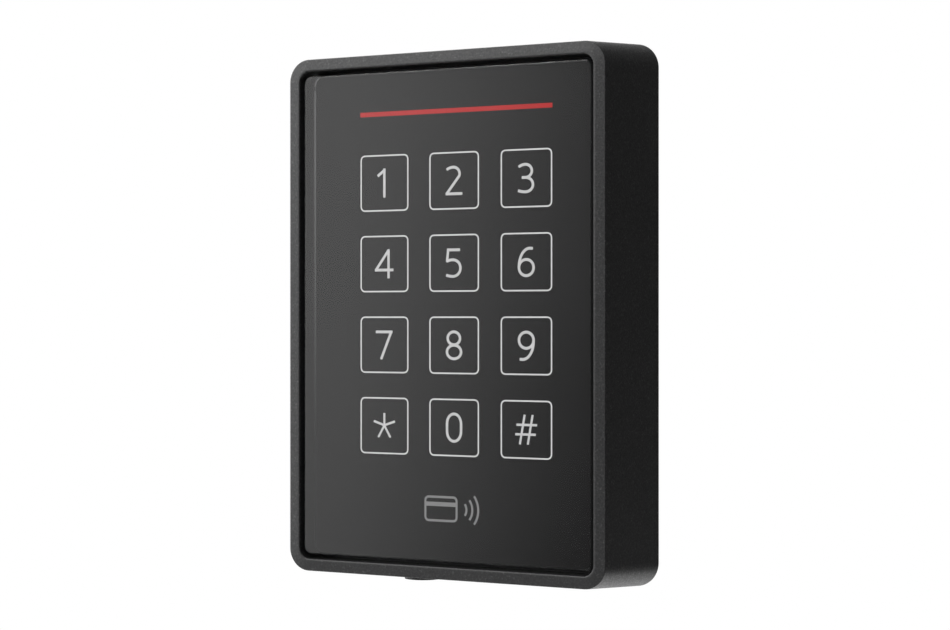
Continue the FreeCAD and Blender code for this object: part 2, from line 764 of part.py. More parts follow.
def outline_ring(width, height, radius, line, depth):
    """A rounded rectangular ring about its centre line."""
    solids = []
    for margin in (line / 2, line / -2):
        across = width + 2 * margin
        tall = height + 2 * margin
        solid = Part.makeBox(across, depth, tall, FreeCAD.Vector(across / -2, -depth, tall / -2))
        upright = [edge for edge in solid.Edges if edge.BoundBox.XLength + edge.BoundBox.ZLength < 1e-6]
        solids.append(solid.makeFillet(radius + margin, upright))
    return solids[0].cut(solids[1])


def legend(name, shape, x, z):
    """A translucent inlay in the legend film."""
    thing = doc.addObject("Part::Feature", name + "_inlay")
    thing.Shape = shape
    place(thing, x, d.mask_back, z)
    return sub_part(thing, name)


def make_legends():
    """The twelve key legends, the status light bar and the card symbol, all as inlays in the film."""
    depth = (d.window_back - d.mask_back).value
    inlays = []
    for name, (x, z) in KEY_PLACES.items():
        ring = outline_ring(d.key_side.value, d.key_side.value, d.key_corner.value, d.key_line.value, depth)
        stroke = d.digit_stroke if name.isdigit() else d.sign_stroke
        glyph = draw(GLYPHS[name], stroke.value, depth)
        inlays.append(legend("key_" + name, Part.makeCompound([ring] + glyph.Solids), x, z))
    stroke = d.symbol_stroke.value
    card = outline_ring(8.6, 5.6, 0.9, stroke, depth)
    card.translate(FreeCAD.Vector(-3.6, 0, 0))
    stripe = bar((-7.63, 1.1), (0.43, 1.1), 1.0, depth)
    waves = [bow((1.2, 0.0), (radius, radius), -38, 38, stroke, depth) for radius in (2.2, 3.8, 5.4)]
    inlays.append(legend("card_symbol", Part.makeCompound([card.fuse(stripe).removeSplitter()] + waves),
                         0, d.symbol_level))
    light_bar = block("light_bar_block", 0, d.bar_level, d.bar_back, d.bar_width, d.bar_height,
                      d.window_back - d.bar_back)
    inlays.append(sub_part(light_bar, "status_light_bar"))
    return inlays


def make_legend_mask(inlays):
    """The opaque film behind the window, cut through where light or print shows."""
    film = sheet_body("mask_film", d.mask_back, d.window_back, d.window_width - 2 * d.mask_margin,
                      d.window_height / 2 - d.mask_margin, d.mask_margin - d.window_height / 2,
                      d.window_radius - d.mask_margin)
    sub_part(cut("mask_cut", film, group("mask_tools", inlays)), "legend_mask")


def frame_body(name, back, front, width, top, bottom, band):
    """A flat rectangular ring whose band is the same width all round."""
    radius = d.inner_corner
    hole = (add_rectangle, 0, (top + bottom) / 2, width - 2 * band, top - bottom - 2 * band, radius)
    return sheet_body(name, back, front, width, top, bottom, radius, [hole])


def make_adhesive():
    margin = d.glue_margin
    hole = (add_rectangle, 0, (d.lit_top + d.lit_bottom) / 2, d.lit_width + 2 * margin,
            d.lit_top - d.lit_bottom + 2 * margin, d.inner_corner)
    ring = sheet_body("adhesive_ring", d.ledge_front, d.mask_back, d.window_width - 2 * margin,
                      d.window_height / 2 - margin, margin - d.window_height / 2, d.inner_corner, [hole])
    sub_part(ring, "window_adhesive")


def make_light_guide():
    """A clear plate that spreads the light of the board's diodes, notched where each one stands."""
    slot = (add_rectangle, 0, d.bar_level, d.bar_width + 2 * d.bar_slot_gap,
            d.bar_height + 2 * d.bar_slot_gap, 0)
    body = sheet_body("guide_plate", d.guide_back, d.guide_front, d.lit_width - 2 * d.guide_gap,
                      d.lit_top - d.guide_gap, d.lit_bottom + d.guide_gap, d.inner_corner, [slot])
    notches = face_sketch(body, "guide_notches")
    for x, z in KEY_PLACES.values():
        add_rectangle(notches, x, z, d.led_width + 2 * d.led_gap, d.led_height + 2 * d.led_gap)
    pocket(body, notches, d.notch_depth)
    sub_part(body, "light_guide")


# ---- Touch board and antenna ---------------------------------------------------------------------

def make_touch_board():
    board = sheet_body("touch_board_sheet", d.touch_back, d.ledge_back, d.touch_width, d.touch_top,
                       d.touch_bottom, d.inner_corner)
    sub_part(board, "touch_board")
    pads = []
    pad_holes = []
    key_leds = []
    for x, z in KEY_PLACES.values():
        pads.append(block("pad_field", x, z, d.ledge_back, d.pad_side, d.pad_side, d.pad_thick))
        pad_holes.append(block("pad_hole", x, z, d.ledge_back, d.pad_hole, d.pad_hole, d.pad_thick))
        key_leds.append(block("key_diode", x, z, d.ledge_back, d.led_width, d.led_height, d.led_thick))
    sub_part(cut("pad_cut", group("pad_fields", pads), group("pad_holes", pad_holes)), "touch_pads")
    sub_part(group("key_diodes", key_leds), "key_leds")
    status = [block("status_diode", x, d.bar_level, d.ledge_back, d.led_width, d.led_height, d.led_thick)
              for x in STATUS_LEDS]
    sub_part(group("status_diodes", status), "status_leds")
    for name, label, back, front, inset, band in (
            ("coil_ring", "antenna_coil", d.coil_back, d.touch_back, d.coil_inset, d.coil_band),
            ("ferrite_ring", "ferrite_sheet", d.ferrite_back, d.coil_back, d.ferrite_inset, d.ferrite_band)):
        ring = frame_body(name, back, front, d.touch_width - 2 * inset, d.touch_top - inset,
                          d.touch_bottom + inset, band)
        sub_part(ring, label)


# ---- Main board ----------------------------------------------------------------------------------

def screw(name, x, z, head_back, head_radius, head_thick, shank_radius, shank_end):
    """A pan-head screw driven from the wall side, with a hexagonal recess."""
    head = post(name + "_head", x, z, head_back, head_radius, head_thick)
    shank_back = head_back + head_thick
    shank = post(name + "_shank", x, z, shank_back, shank_radius, shank_end - shank_back)
    recess_tool = doc.addObject("Part::Prism", name + "_recess")
    recess_tool.Polygon = 6
    bind(recess_tool, "Circumradius", shank_radius)
    bind(recess_tool, "Height", head_thick * 0.6 + OVERRUN)
    recess_tool.Placement.Rotation = FreeCAD.Rotation(AXIS_X, 90)
    place(recess_tool, x, head_back - OVERRUN, z)
    return cut(name + "_cut", fuse(name + "_solid", [head, shank]), recess_tool)


def make_main_board():
    holes = [(add_circle, x, z, d.board_hole) for x, z in BOARD_POSTS]
    board = sheet_body("main_board_sheet", d.board_back, d.board_front, d.board_width, d.board_top,
                       d.board_bottom, d.inner_corner, holes)
    sub_part(board, "main_board")
    spacers = []
    screws = []
    for x, z in BOARD_POSTS:
        sleeve = post("spacer_sleeve", x, z, d.board_front, d.post_radius, d.touch_back - d.board_front)
        bore = post("spacer_bore", x, z, d.board_front, d.post_bore, d.post_bore_end - d.board_front)
        spacers.append(cut("spacer", sleeve, bore))
        screws.append(screw("board_screw", x, z, d.board_back - d.board_screw_head_thick, d.board_screw_head,
                            d.board_screw_head_thick, d.board_screw_shank, d.board_screw_end))
    sub_part(group("spacers", spacers), "board_spacers")
    sub_part(group("board_screw_set", screws), "board_screws")
    connector = block("connector_block", 0, d.connector_level, d.board_front, d.connector_width,
                      d.connector_height, d.touch_back - d.board_front)
    sub_part(connector, "board_connector")


def make_components():
    """The parts on the rear of the main board, each standing back from it by its own thickness."""
    for name in COMPONENTS:
        x, level, width, height, thick = [getattr(d, name + "_" + word)
                                          for word in ("x", "level", "width", "height", "thick")]
        sub_part(block(name + "_block", x, level, d.board_back - thick, width, height, thick), name)
    for name in ROUND_COMPONENTS:
        x, level, radius, thick = [getattr(d, name + "_" + word)
                                   for word in ("x", "level", "radius", "thick")]
        can = post(name + "_can", x, level, d.board_back - thick, radius, thick)
        if name == "sounder":
            port = post("sounder_port", x, level, d.board_back - thick - OVERRUN, radius / 5,
                        thick / 2 + OVERRUN)
            can = cut("sounder_cut", can, port)
        sub_part(can, name)
    switch = block("switch_block", d.tamper_x, d.tamper_level, d.tamper_back, d.tamper_side, d.tamper_side,
                   d.board_back - d.tamper_back)
    bore = post("switch_bore", d.tamper_x, d.tamper_level, d.tamper_back - OVERRUN, d.tamper_bore,
                d.tamper_bore_end - d.tamper_back + OVERRUN)
    sub_part(cut("switch_cut", switch, bore), "tamper_switch")
    plunger = post("plunger_post", d.tamper_x, d.tamper_level, d.plunger_back, d.plunger_radius,
                   d.plunger_front - d.plunger_back)
    sub_part(plunger, "tamper_plunger")


def make_terminal_block():
    """Six spring clamps: a square wire entry, a release button above it and a contact inside each."""
    body = sheet_body("terminal_body", d.terminal_back, d.board_back, d.terminal_width,
                      d.terminal_height / 2, d.terminal_height / -2)
    entries = face_sketch(body, "wire_entries")
    slots = face_sketch(body, "button_slots")
    contacts = []
    for number, x in enumerate(POLES, start=1):
        add_rectangle(entries, x, d.wire_level, d.wire_side, d.wire_side)
        add_rectangle(slots, x, d.slot_level, d.slot_width, d.slot_height)
        blank = block("button_blank", x, d.slot_level, d.button_back, d.button_width, d.button_height,
                      d.button_length)
        groove = block("button_groove", x, d.slot_level, d.button_back - d.button_groove, d.button_groove,
                       d.button_height * 0.7, 2 * d.button_groove)
        sub_part(cut("button_cut", blank, groove), "release_button_%d" % number)
        contact_level = d.wire_level + d.wire_side / 2 - d.contact_thick
        contacts.append(block("contact_leaf", x, contact_level, d.contact_back, d.contact_width,
                              d.contact_thick, d.contact_length))
    pocket(body, entries, d.wire_depth)
    pocket(body, slots, d.slot_depth)
    sub_part(body, "terminal_block")
    sub_part(group("contact_leaves", contacts), "terminal_contacts")


# ---- Rear cover ----------------------------------------------------------------------------------

def make_rear_cover():
    width = d.seat_width - 2 * d.cover_clearance
    top = d.seat_top - d.cover_clearance
    bottom = d.seat_bottom + d.cover_clearance
    holes = [(add_circle, x, z, d.cover_screw_hole) for x, z in COVER_SCREWS]
    holes.append((add_rectangle, 0, 0, d.terminal_window_width, d.terminal_window_height, 0))
    holes.append((add_circle, d.tamper_x, d.tamper_level, d.plunger_hole))
    holes.append((add_circle, d.vent_x, d.vent_level, d.vent_hole))
    cover = sheet_body("cover_sheet", d.cover_back, d.cover_front, width, top, bottom, d.inner_corner, holes)
    sub_part(cover, "rear_cover")
    gasket = frame_body("gasket_ring", d.cover_front, d.bay_back, width, top, bottom, d.gasket_band)
    sub_part(gasket, "rear_gasket")
    screws = [screw("cover_screw", x, z, d.cover_back - d.cover_screw_head_thick, d.cover_screw_head,
                    d.cover_screw_head_thick, d.cover_screw_shank, d.cover_screw_end)
              for x, z in COVER_SCREWS]
    sub_part(group("cover_screw_set", screws), "rear_cover_screws")
    membrane = post("membrane_disc", d.vent_x, d.vent_level, d.cover_back - d.vent_thick, d.vent_radius,
                    d.vent_thick)
    sub_part(membrane, "vent_membrane")


# ---- Security screw ------------------------------------------------------------------------------

def make_lock():
    """The captive screw, the ring that keeps it in, and the square nut that it clamps on the tab."""
    head_top = d.lock_head_floor - d.lock_head_gap
    head = pillar("lock_head", d.lock_x, d.lock_standoff, d.lock_head_bottom, d.lock_head_radius,
                  head_top - d.lock_head_bottom)
    shank = pillar("lock_shank", d.lock_x, d.lock_standoff, head_top, d.lock_shank_radius,
                   d.lock_shank_top - head_top)
    drive = doc.addObject("Part::Prism", "lock_drive")
    drive.Polygon = 6
    bind(drive, "Circumradius", d.recess_radius)
    bind(drive, "Height", d.recess_depth)
    place(drive, d.lock_x, d.lock_standoff, d.lock_head_bottom)
    drive_pin = pillar("lock_drive_pin", d.lock_x, d.lock_standoff, d.lock_head_bottom, d.recess_pin_radius,
                       d.recess_depth)
    socket = cut("lock_socket", drive, drive_pin)
    sub_part(cut("lock_screw_cut", fuse("lock_screw_solid", [head, shank]), socket), "lock_screw")
    ring_bottom = d.lock_bay_bottom + d.lock_head_gap
    ring = pillar("retainer_ring", d.lock_x, d.lock_standoff, ring_bottom, d.retainer_radius,
                  d.retainer_thick)
    ring_bore = pillar("retainer_bore", d.lock_x, d.lock_standoff, ring_bottom - OVERRUN,
                       d.lock_shank_radius, d.retainer_thick + 2 * OVERRUN)
    sub_part(cut("retainer_cut", ring, ring_bore), "screw_retainer")
    nut_bottom = d.tab_top + d.nut_gap
    nut = block("nut_blank", d.lock_x, nut_bottom + d.nut_thick / 2, d.lock_standoff - d.nut_side / 2,
                d.nut_side, d.nut_thick, d.nut_side)
    nut_bore = pillar("nut_bore", d.lock_x, d.lock_standoff, nut_bottom - OVERRUN,
                      d.lock_shank_radius + d.nut_clearance, d.nut_thick + 2 * OVERRUN)
    sub_part(cut("nut_cut", nut, nut_bore), "clamp_nut")


def check_document():
    """Stops if any object failed to compute or any sub-part isn't a sound solid."""
    doc.recompute()
    for thing in doc.Objects:
        if "Invalid" in thing.State or "Error" in thing.State:
            raise RuntimeError("%s: %s" % (thing.Label, thing.State))
    for thing in SUB_PARTS:
        if thing.Shape.isNull() or not thing.Shape.isValid() or not thing.Shape.Solids:
            raise RuntimeError(thing.Label + " has no valid solid")


make_wall_plate()
make_front_housing()
make_window()
make_legend_mask(make_legends())
make_adhesive()
make_light_guide()
make_touch_board()
make_main_board()
make_components()
make_terminal_block()
make_rear_cover()
make_lock()
check_document()

os.makedirs("parts", exist_ok=True)
for piece in SUB_PARTS:
    piece.Shape.exportStep("parts/%s.step" % piece.Label)
print("%d sub-parts written" % len(SUB_PARTS))
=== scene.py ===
import json
import math

import bmesh
import bpy
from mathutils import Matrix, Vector


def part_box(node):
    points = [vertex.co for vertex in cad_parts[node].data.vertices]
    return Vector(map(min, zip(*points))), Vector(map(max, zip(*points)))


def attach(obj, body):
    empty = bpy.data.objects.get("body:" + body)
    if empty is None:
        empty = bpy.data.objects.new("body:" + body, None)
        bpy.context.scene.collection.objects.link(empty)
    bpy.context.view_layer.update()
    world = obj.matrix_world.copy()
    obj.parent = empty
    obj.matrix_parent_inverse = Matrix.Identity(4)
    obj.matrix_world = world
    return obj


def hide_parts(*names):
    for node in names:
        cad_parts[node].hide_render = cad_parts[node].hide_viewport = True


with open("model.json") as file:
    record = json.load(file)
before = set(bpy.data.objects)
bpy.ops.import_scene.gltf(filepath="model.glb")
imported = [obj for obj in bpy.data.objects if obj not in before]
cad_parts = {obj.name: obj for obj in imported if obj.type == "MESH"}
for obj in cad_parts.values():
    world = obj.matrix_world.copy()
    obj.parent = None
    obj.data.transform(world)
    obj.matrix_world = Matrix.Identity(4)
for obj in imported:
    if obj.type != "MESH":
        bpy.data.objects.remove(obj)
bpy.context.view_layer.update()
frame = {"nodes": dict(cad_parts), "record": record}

MM = 0.001
NODES = frame["nodes"]
SMOOTH_ANGLE = 35  # degrees; a sharper edge than this isn't shaded smooth

# Camera: a level view from the reader's right, its place in millimetres
CAMERA_PLACE = (269.2, -475.0, -0.46)
CAMERA_TURN = 30  # degrees off the reader's front
CAMERA_LENS = 85
CAMERA_SHIFT = 0.0022

# Studio: how bright it is in each direction, seen from the reader
STUDIO_GRADIENT = (0.405, 0.60, 0.078, 1.76)  # from and to this far leftward, from dim to bright
STUDIO_RISE = 0.2  # how much a step up counts as a step leftward
STUDIO_HEIGHTS = [(-0.32, 0.1), (-0.12, 1.0), (0.12, 1.0), (0.42, 2.7), (0.85, 0.8)]  # and brightness
BRIGHTEST = max(brightness for height, brightness in STUDIO_HEIGHTS)

# Softboxes: name, place, point aimed at, width and height, all in metres, and watts
SOFTBOXES = [
    ("top_softbox", (-0.45, -0.05, 0.9), (0, 0, 0), (0.5, 0.5), 0.8),
    ("front_softbox", (-0.08, -0.17, 0.23), (0, 0, 0.05), (0.2, 0.1), 0.35),
    ("left_softbox", (-1.0, -0.5, 0.25), (0, 0, 0), (0.6, 0.9), 1.1),
    ("rear_softbox", (-0.15, 0.75, 0.52), (0, 0, 0), (0.5, 0.3), 0.12),
]

# Floor, in metres
FLOOR_PLACE = (0, 0.08, -0.21)
FLOOR_RADIUS = 0.29
FLOOR_GLOW = 0.49

# Lit legends: how strongly each one shines
DIGIT_GLOW = 0.89
OUTLINE_GLOW = 1.12
OUTLINE_FROM, OUTLINE_TO = 5.0, 6.2  # the glow rises between these distances from the key's middle
STATUS_GLOW = 0.72
SYMBOL_GLOW = 0.33

# Window, in millimetres
PANE_BEDDING = 0.04  # how far the pane's rear face is bedded into the film
FACE_TOLERANCE = 0.01  # a vertex this near to the rear face lies on it

# The frosted bead round the window's foot, which carries a painted highlight line, in millimetres
BEAD_CORNER = 2.2
BEAD_BEHIND_WINDOW = 0.42
BEAD_SECTION = [(0.03, 0.0), (0.2, -0.06), (0.26, -0.3), (0.2, -0.54), (0.03, -0.6)]  # outward, deep
BEAD_CORNER_STEPS = 8
HIGHLIGHT_WIDTH = 1.1  # only this much of the frost, from the window's left edge, carries the painted highlight
HIGHLIGHT_DIM_LEVEL, HIGHLIGHT_BRIGHT_LEVEL = -30, 35  # the painted highlight grows brighter between these heights
# how strongly the painted highlight along the window's left edge shines
PAINTED_HIGHLIGHT_GLOW = 0.34
HIGHLIGHT_BREAK_DROP = 2.7  # the break in the painted highlight, below the window's top
HIGHLIGHT_BREAK_HALF = 0.45

# Screws, in millimetres; centres are (x, z)
COVER_SCREWS = [(side * 36.0, level) for side in (-1, 1) for level in (54.0, 6.0, -42.5)]
BOARD_SCREWS = [(side * 28.0, level) for side in (-1, 1) for level in (45.0, -35.5)]


def box_mm(node):
    """A node's lowest and highest corners in millimetres."""
    return [tuple(value / MM for value in corner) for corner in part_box(node)]


# ---- Camera --------------------------------------------------------------------------------------

def make_camera():
    """A level view from the reader's right, 30 degrees off its front."""
    data = bpy.data.cameras.new("camera")
    data.lens = CAMERA_LENS
    data.sensor_width = 36
    data.shift_y = CAMERA_SHIFT
    data.clip_start = 0.01
    camera = bpy.data.objects.new("camera", data)
    camera.location = [value * MM for value in CAMERA_PLACE]
    camera.rotation_euler = (math.radians(90), 0, math.radians(CAMERA_TURN))
    bpy.context.scene.collection.objects.link(camera)
    bpy.context.scene.camera = camera


# ---- Material helpers ----------------------------------------------------------------------------

class Shader:
    """A node material with one Principled shader and short calls for what feeds it."""

    def __init__(self, name, edge_round=0.0):
        self.material = bpy.data.materials.new(name)
        self.material.use_nodes = True
        self.tree = self.material.node_tree
        self.principled = self.tree.nodes["Principled BSDF"]
        self.coordinates = self.tree.nodes.new("ShaderNodeTexCoord").outputs["Object"]
        self.normal = None
        if edge_round:
            corner = self.tree.nodes.new("ShaderNodeBevel")
            corner.samples = 6
            corner.inputs["Radius"].default_value = edge_round * MM
            self.normal = corner.outputs["Normal"]

    def set(self, **values):
        """Constants, set on the shader's own sockets; an underscore in a name is a space."""
        for name, value in values.items():
            self.principled.inputs[name.replace("_", " ")].default_value = value
        return self

    def link(self, output, socket):
        self.tree.links.new(output, self.principled.inputs[socket])

    def stretched(self, scale):
        """Object coordinates with a scale for each axis."""
        mapping = self.tree.nodes.new("ShaderNodeMapping")
        mapping.inputs["Scale"].default_value = scale
        self.tree.links.new(self.coordinates, mapping.inputs["Vector"])
        return mapping.outputs["Vector"]

    def noise(self, size, detail, roughness, vector=None):
        """Noise whose features are about "size" millimetres across."""
        node = self.tree.nodes.new("ShaderNodeTexNoise")
        node.inputs["Scale"].default_value = 1 / (size * MM)
        node.inputs["Detail"].default_value = detail
        node.inputs["Roughness"].default_value = roughness
        self.tree.links.new(vector or self.coordinates, node.inputs["Vector"])
        return node.outputs["Fac"]

    def cells(self, size):
        """Distance to the middle of the nearest cell; cells are about "size" millimetres across."""
        node = self.tree.nodes.new("ShaderNodeTexVoronoi")
        node.inputs["Scale"].default_value = 1 / (size * MM)
        self.tree.links.new(self.coordinates, node.inputs["Vector"])
        return node.outputs["Distance"]

    def ramp(self, value, stops):
        """Maps a value to colours: a list of (position, colour)."""
        node = self.tree.nodes.new("ShaderNodeValToRGB")
        elements = node.color_ramp.elements
        while len(elements) < len(stops):
            elements.new(0.5)
        for element, (position, colour) in zip(elements, stops):
            element.position = position
            element.color = (*colour, 1)
        self.tree.links.new(value, node.inputs["Fac"])
        return node.outputs["Color"]

    def between(self, value, low, high, start=0.35, end=0.65):
        """Maps a value to the range from low to high."""
        node = self.tree.nodes.new("ShaderNodeMapRange")
        for name, number in zip(("From Min", "From Max", "To Min", "To Max"), (start, end, low, high)):
            node.inputs[name].default_value = number
        self.tree.links.new(value, node.inputs["Value"])
        return node.outputs["Result"]

    def sum(self, first, second, share):
        """first + share * second."""
        node = self.tree.nodes.new("ShaderNodeMath")
        node.operation = "MULTIPLY_ADD"
        self.tree.links.new(second, node.inputs[0])
        node.inputs[1].default_value = share
        self.tree.links.new(first, node.inputs[2])
        return node.outputs[0]

    def math(self, operation, first, second):
        """A Math node; its second value is an output or a number."""
        node = self.tree.nodes.new("ShaderNodeMath")
        node.operation = operation
        self.tree.links.new(first, node.inputs[0])
        if isinstance(second, (int, float)):
            node.inputs[1].default_value = second
        else:
            self.tree.links.new(second, node.inputs[1])
        return node.outputs[0]

    def position(self, axis):
        """One of the object coordinates: X, Y or Z."""
        axes = self.tree.nodes.new("ShaderNodeSeparateXYZ")
        self.tree.links.new(self.coordinates, axes.inputs["Vector"])
        return axes.outputs[axis]

    def edges(self):
        """About 0 on flat faces, more the nearer and the sharper an edge is."""
        true_normal = self.tree.nodes.new("ShaderNodeNewGeometry").outputs["True Normal"]
        match = self.tree.nodes.new("ShaderNodeVectorMath")
        match.operation = "DOT_PRODUCT"
        self.tree.links.new(self.normal, match.inputs[0])
        self.tree.links.new(true_normal, match.inputs[1])
        return self.between(match.outputs["Value"], 0.0, 0.3, 1.0, 0.7)

    def bump(self, height, depth, strength=1.0):
        """Relief "depth" millimetres deep, on top of the relief made so far."""
        node = self.tree.nodes.new("ShaderNodeBump")
        node.inputs["Distance"].default_value = depth * MM
        node.inputs["Strength"].default_value = strength
        self.tree.links.new(height, node.inputs["Height"])
        if self.normal:
            self.tree.links.new(self.normal, node.inputs["Normal"])
        self.normal = node.outputs["Normal"]
        self.tree.links.new(self.normal, self.principled.inputs["Normal"])


def tint(colour, share):
    """A colour made darker or paler."""
    return tuple(channel * share for channel in colour)


def moulded(name, colour, roughness, grain, depth):
    """Moulded plastic: a spark-eroded grain, slight flow marks in its colour and uneven gloss."""
    shader = Shader(name, 0.15)
    fine = shader.noise(grain, 2.0, 0.6)
    broad = shader.noise(18.0, 2.0, 0.5)
    mixed = shader.sum(broad, fine, 0.35)
    shader.link(shader.ramp(mixed, [(0.45, tint(colour, 0.86)), (0.85, tint(colour, 1.14))]),
                "Base Color")
    shader.link(shader.between(shader.sum(broad, fine, 0.5), *roughness, 0.5, 1.0), "Roughness")
    shader.bump(broad, 0.02, 0.3)
    shader.bump(fine, depth)
    return shader.material


def metal(name, colour, roughness=(0.22, 0.4), brushed=(1, 1, 12)):
    """Metal with fine drawn marks along one axis, small scratches and smudges in its gloss."""
    shader = Shader(name, 0.06)
    marks = shader.noise(0.9, 4.0, 0.65, shader.stretched(brushed))
    smudges = shader.noise(3.5, 3.0, 0.5)
    shader.link(shader.ramp(marks, [(0.3, tint(colour, 0.82)), (0.75, colour)]), "Base Color")
    shader.link(shader.between(shader.sum(smudges, marks, 0.4), *roughness, 0.5, 0.9), "Roughness")
    shader.bump(marks, 0.004, 0.6)
    return shader.set(Metallic=1.0).material


def housing_plastic():
    """Charcoal moulded housing: a dense spark-eroded grain, and a painted highlight that makes its
    edges paler.
    """
    shader = Shader("housing_plastic", 0.14)
    # painted highlight: edges paler where the rounded normal turns away from the true normal
    edge_highlight = shader.edges()
    grain = shader.noise(0.42, 3.0, 0.7)
    pits = shader.cells(0.5)
    relief = shader.sum(grain, pits, 0.35)
    broad = shader.noise(40.0, 2.0, 0.5)
    mixed = shader.sum(shader.sum(relief, broad, 0.10), edge_highlight, 1.6)
    shader.link(shader.ramp(mixed, [(0.52, (0.012, 0.012, 0.0125)), (0.86, (0.030, 0.030, 0.0305)),
                                    (1.0, (0.075, 0.075, 0.076))]), "Base Color")
    shader.link(shader.between(mixed, 0.36, 0.52, 0.9, 0.5), "Roughness")
    shader.bump(relief, 0.05)
    return shader.set(Specular_IOR_Level=0.5).material


def smoked_window():
    """Polished smoked polycarbonate, seen through, with the faintest haze in its gloss."""
    shader = Shader("smoked_window", 0.3)
    haze = shader.noise(30.0, 2.0, 0.5)
    peel = shader.noise(5.0, 1.0, 0.5)
    shader.link(shader.ramp(haze, [(0.3, (0.006, 0.006, 0.0063)), (0.8, (0.008, 0.008, 0.0083))]),
                "Base Color")
    shader.link(shader.between(haze, 0.11, 0.13), "Roughness")
    shader.bump(peel, 0.0008, 0.3)
    return shader.set(Alpha=0.5, IOR=1.58, Specular_IOR_Level=0.9).material


def frost_with_painted_highlight():
    """The window's unpolished foot: a dark frost, with a painted highlight glowing along its left
    side, brighter higher up and broken once below the top.
    """
    shader = Shader("frost_with_painted_highlight")
    low, high = box_mm("front_window")
    frost = shader.noise(0.4, 3.0, 0.6)
    along = shader.noise(16.0, 2.0, 0.5)
    mixed = shader.sum(along, frost, 0.4)
    shader.link(shader.ramp(mixed, [(0.45, (0.06, 0.06, 0.062)), (0.9, (0.12, 0.12, 0.122))]),
                "Base Color")
    shader.link(shader.between(mixed, 0.35, 0.6, 0.45, 0.9), "Roughness")
    level = shader.position("Z")
    # painted highlight: emission only along the window's left edge, growing with height, with one
    # break
    highlight_by_height = shader.between(level, 0.0, PAINTED_HIGHLIGHT_GLOW, HIGHLIGHT_DIM_LEVEL * MM, HIGHLIGHT_BRIGHT_LEVEL * MM)
    highlight_side = shader.math("LESS_THAN", shader.position("X"), (low[0] + HIGHLIGHT_WIDTH) * MM)
    from_break = shader.math("SUBTRACT", level, (high[2] - HIGHLIGHT_BREAK_DROP) * MM)
    distance = shader.math("ABSOLUTE", from_break, 0.0)
    unbroken = shader.math("GREATER_THAN", distance, HIGHLIGHT_BREAK_HALF * MM)
    painted_highlight = shader.math("MULTIPLY", highlight_by_height, shader.math("MULTIPLY", highlight_side, unbroken))
    shader.link(painted_highlight, "Emission Strength")
    shader.bump(frost, 0.01)
    return shader.set(IOR=1.58, Emission_Color=(1, 1, 1, 1)).material


def inlay(name, colour, light, colour_mottle=0.94):
    """A translucent inlay lit from behind: even light with a slight mottle, and a satin face."""
    shader = Shader(name)
    cloud = shader.noise(1.6, 2.0, 0.5)
    shader.link(shader.ramp(cloud, [(0.3, tint(colour, colour_mottle)), (0.7, colour)]), "Base Color")
    shader.link(shader.ramp(cloud, [(0.3, tint(light, 0.94)), (0.7, light)]), "Emission Color")
    shader.link(shader.between(cloud, 0.4, 0.5), "Roughness")
    return shader


def glowing(name, colour, light, strength):
    """An inlay that shines evenly."""
    return inlay(name, colour, light).set(Emission_Strength=strength).material


def key_inlay():
    """The keys' translucent inlay, lit from behind, a little brighter along each key's outline."""
    shader = inlay("legend_white", (0.5, 0.5, 0.5), (1.0, 1.0, 1.0), 0.84)
    first, second = [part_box(node) for node in ("key_1", "key_2")]
    pitch = second[0][0] - first[0][0]
    middle = [(low + high) / 2 for low, high in zip(*first)]
    distances = []
    for axis, centre in (("X", middle[0]), ("Z", middle[2])):
        shifted = shader.math("SUBTRACT", shader.position(axis), centre)
        distances.append(shader.math("PINGPONG", shifted, pitch / 2))
    from_middle = shader.math("MAXIMUM", *distances)
    glow = shader.between(from_middle, DIGIT_GLOW, OUTLINE_GLOW, OUTLINE_FROM * MM, OUTLINE_TO * MM)
    shader.link(glow, "Emission Strength")
    return shader.material


def printed_film():
    """Satin black film with the fine screen of its printing."""
    shader = Shader("mask_film")
    screen = shader.cells(0.5)
    cloud = shader.noise(24.0, 2.0, 0.5)
    shader.link(shader.ramp(cloud, [(0.3, (0.005, 0.005, 0.0052)), (0.8, (0.007, 0.007, 0.0072))]),
                "Base Color")
    shader.link(shader.between(shader.sum(cloud, screen, 0.2), 0.5, 0.56, 0.4, 0.8), "Roughness")
    shader.bump(screen, 0.001, 0.3)
    return shader.set(Specular_IOR_Level=0.12).material


def clear_guide():
    """Clear acrylic with a frosted dot pattern."""
    shader = Shader("light_guide_clear")
    dots = shader.cells(1.1)
    shader.link(shader.ramp(dots, [(0.2, (0.9, 0.91, 0.92)), (0.6, (0.72, 0.75, 0.77))]), "Base Color")
    shader.link(shader.between(dots, 0.15, 0.4, 0.2, 0.6), "Roughness")
    shader.bump(dots, 0.01, 0.4)
    return shader.set(Alpha=0.6, IOR=1.49).material


def circuit_board(name, colour, trace):
    """Solder mask over copper: fine parallel tracks that show as relief and a lighter tone."""
    shader = Shader(name, 0.08)
    wave = shader.tree.nodes.new("ShaderNodeTexWave")
    wave.inputs["Scale"].default_value = 130
    wave.inputs["Distortion"].default_value = 9
    wave.inputs["Detail"].default_value = 1
    shader.tree.links.new(shader.stretched((1, 0.2, 1)), wave.inputs["Vector"])
    weave = shader.noise(0.7, 3.0, 0.5)
    shader.link(shader.ramp(wave.outputs["Fac"], [(0.55, colour), (0.7, trace)]), "Base Color")
    shader.link(shader.between(weave, 0.22, 0.36), "Roughness")
    shader.bump(weave, 0.004, 0.4)
    shader.bump(wave.outputs["Fac"], 0.03, 0.5)
    return shader.set(Coat_Weight=0.3).material


def membrane():
    """Woven white membrane."""
    shader = Shader("vent_fabric")
    threads = shader.cells(0.28)
    shader.link(shader.ramp(threads, [(0.1, (0.82, 0.82, 0.8)), (0.6, (0.55, 0.55, 0.53))]),
                "Base Color")
    shader.link(shader.between(threads, 0.6, 0.85, 0.1, 0.6), "Roughness")
    shader.bump(threads, 0.05, 0.7)
    return shader.set(Sheen_Weight=0.3).material


BLACK = (0.02, 0.02, 0.021)

